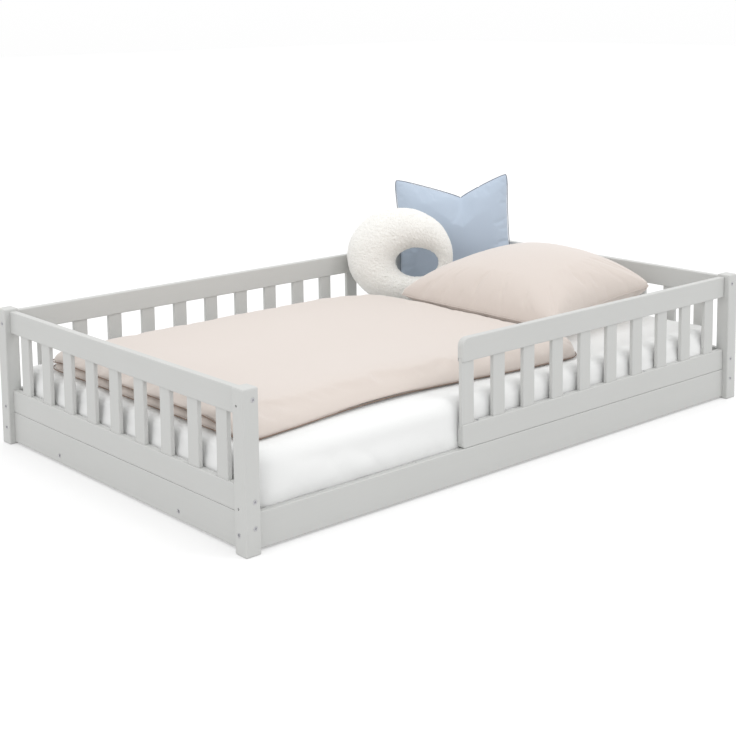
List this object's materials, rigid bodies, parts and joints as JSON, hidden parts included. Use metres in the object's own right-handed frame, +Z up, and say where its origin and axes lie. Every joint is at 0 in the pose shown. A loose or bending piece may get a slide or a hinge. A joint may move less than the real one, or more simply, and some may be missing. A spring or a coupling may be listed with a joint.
{
  "type": "toddler floor bed",
  "caption": "Low wooden floor bed with slatted galleries all round, an entry gap beside the foot post, a slatted base, mattress, folded duvet, pillow and two cushions.",
  "frame": {"origin": "on the floor, at the middle of the bed's length and width", "axes": "+X from the foot end to the head end, -Y the entry side, +Z up"},
  "size_m": [2.1, 1.3, 0.6907],
  "materials": {
    "grey_paint": "satin light grey paint on pine",
    "pine": "bare planed pine",
    "screw_steel": "zinc plated",
    "sheet_cotton": "white jersey fitted sheet",
    "blush_cotton": "fine plain weave cotton",
    "blue_cotton": "plain weave cotton",
    "cream_plush": "curly plush"
  },
  "bodies": {
    "frame": {"back_gallery": "grey_paint", "beam_back": "pine", "beam_front": "pine", "beam_pad_back": "pine", "beam_pad_front": "pine", "bearer_back": "pine", "bearer_front": "pine", "board_back": "grey_paint", "board_foot": "grey_paint", "board_front": "grey_paint", "board_head": "grey_paint", "foot_baluster_01": "grey_paint", "foot_baluster_02": "grey_paint", "foot_baluster_03": "grey_paint", "foot_baluster_04": "grey_paint", "foot_baluster_05": "grey_paint", "foot_baluster_06": "grey_paint", "foot_baluster_07": "grey_paint", "foot_baluster_08": "grey_paint", "foot_baluster_09": "grey_paint", "foot_rail_lower": "grey_paint", "foot_rail_top": "grey_paint", "guard_baluster_01": "grey_paint", "guard_baluster_02": "grey_paint", "guard_baluster_03": "grey_paint", "guard_baluster_04": "grey_paint", "guard_baluster_05": "grey_paint", "guard_baluster_06": "grey_paint", "guard_baluster_07": "grey_paint", "guard_baluster_08": "grey_paint", "guard_baluster_09": "grey_paint", "guard_baluster_10": "grey_paint", "guard_rail_lower": "grey_paint", "guard_rail_top": "grey_paint", "head_gallery": "grey_paint", "post_back_foot": "grey_paint", "post_back_head": "grey_paint", "post_front_foot": "grey_paint", "post_front_head": "grey_paint", "screw_back_foot_side_board": "screw_steel", "screw_back_foot_side_lower_rail": "screw_steel", "screw_back_foot_side_top_rail": "screw_steel", "screw_foot_board_back": "screw_steel", "screw_foot_board_front": "screw_steel", "screw_front_foot_end_board": "screw_steel", "screw_front_foot_end_lower_rail": "screw_steel", "screw_front_foot_end_top_rail": "screw_steel", "screw_front_foot_side_board": "screw_steel", "screw_front_head_end_board": "screw_steel", "screw_front_head_end_lower_rail": "screw_steel", "screw_front_head_end_top_rail": "screw_steel", "screw_guard_free_end": "screw_steel", "screw_guard_head_end": "screw_steel", "slat_roll": "pine"},
    "mattress": {"mattress": "sheet_cotton"},
    "duvet": {"duvet": "blush_cotton"},
    "pillow": {"pillow": "blush_cotton"},
    "ring_cushion": {"ring_cushion": "cream_plush"},
    "dented_cushion": {"dented_cushion": "blue_cotton"}
  },
  "joints": [
    {"name": "mattress_lift", "type": "slide", "parent": "frame", "child": "mattress", "axis": [0, 0, 1], "range_m": [0, 0.38]},
    {"name": "duvet_lift", "type": "slide", "parent": "mattress", "child": "duvet", "axis": [0, 0, 1], "range_m": [0, 0.2]},
    {"name": "pillow_lift", "type": "slide", "parent": "mattress", "child": "pillow", "axis": [0, 0, 1], "range_m": [0, 0.2]},
    {"name": "ring_cushion_lift", "type": "slide", "parent": "mattress", "child": "ring_cushion", "axis": [0, 0, 1], "range_m": [0, 0.2]},
    {"name": "dented_cushion_lift", "type": "slide", "parent": "mattress", "child": "dented_cushion", "axis": [0, 0, 1], "range_m": [0, 0.2]}
  ]
}
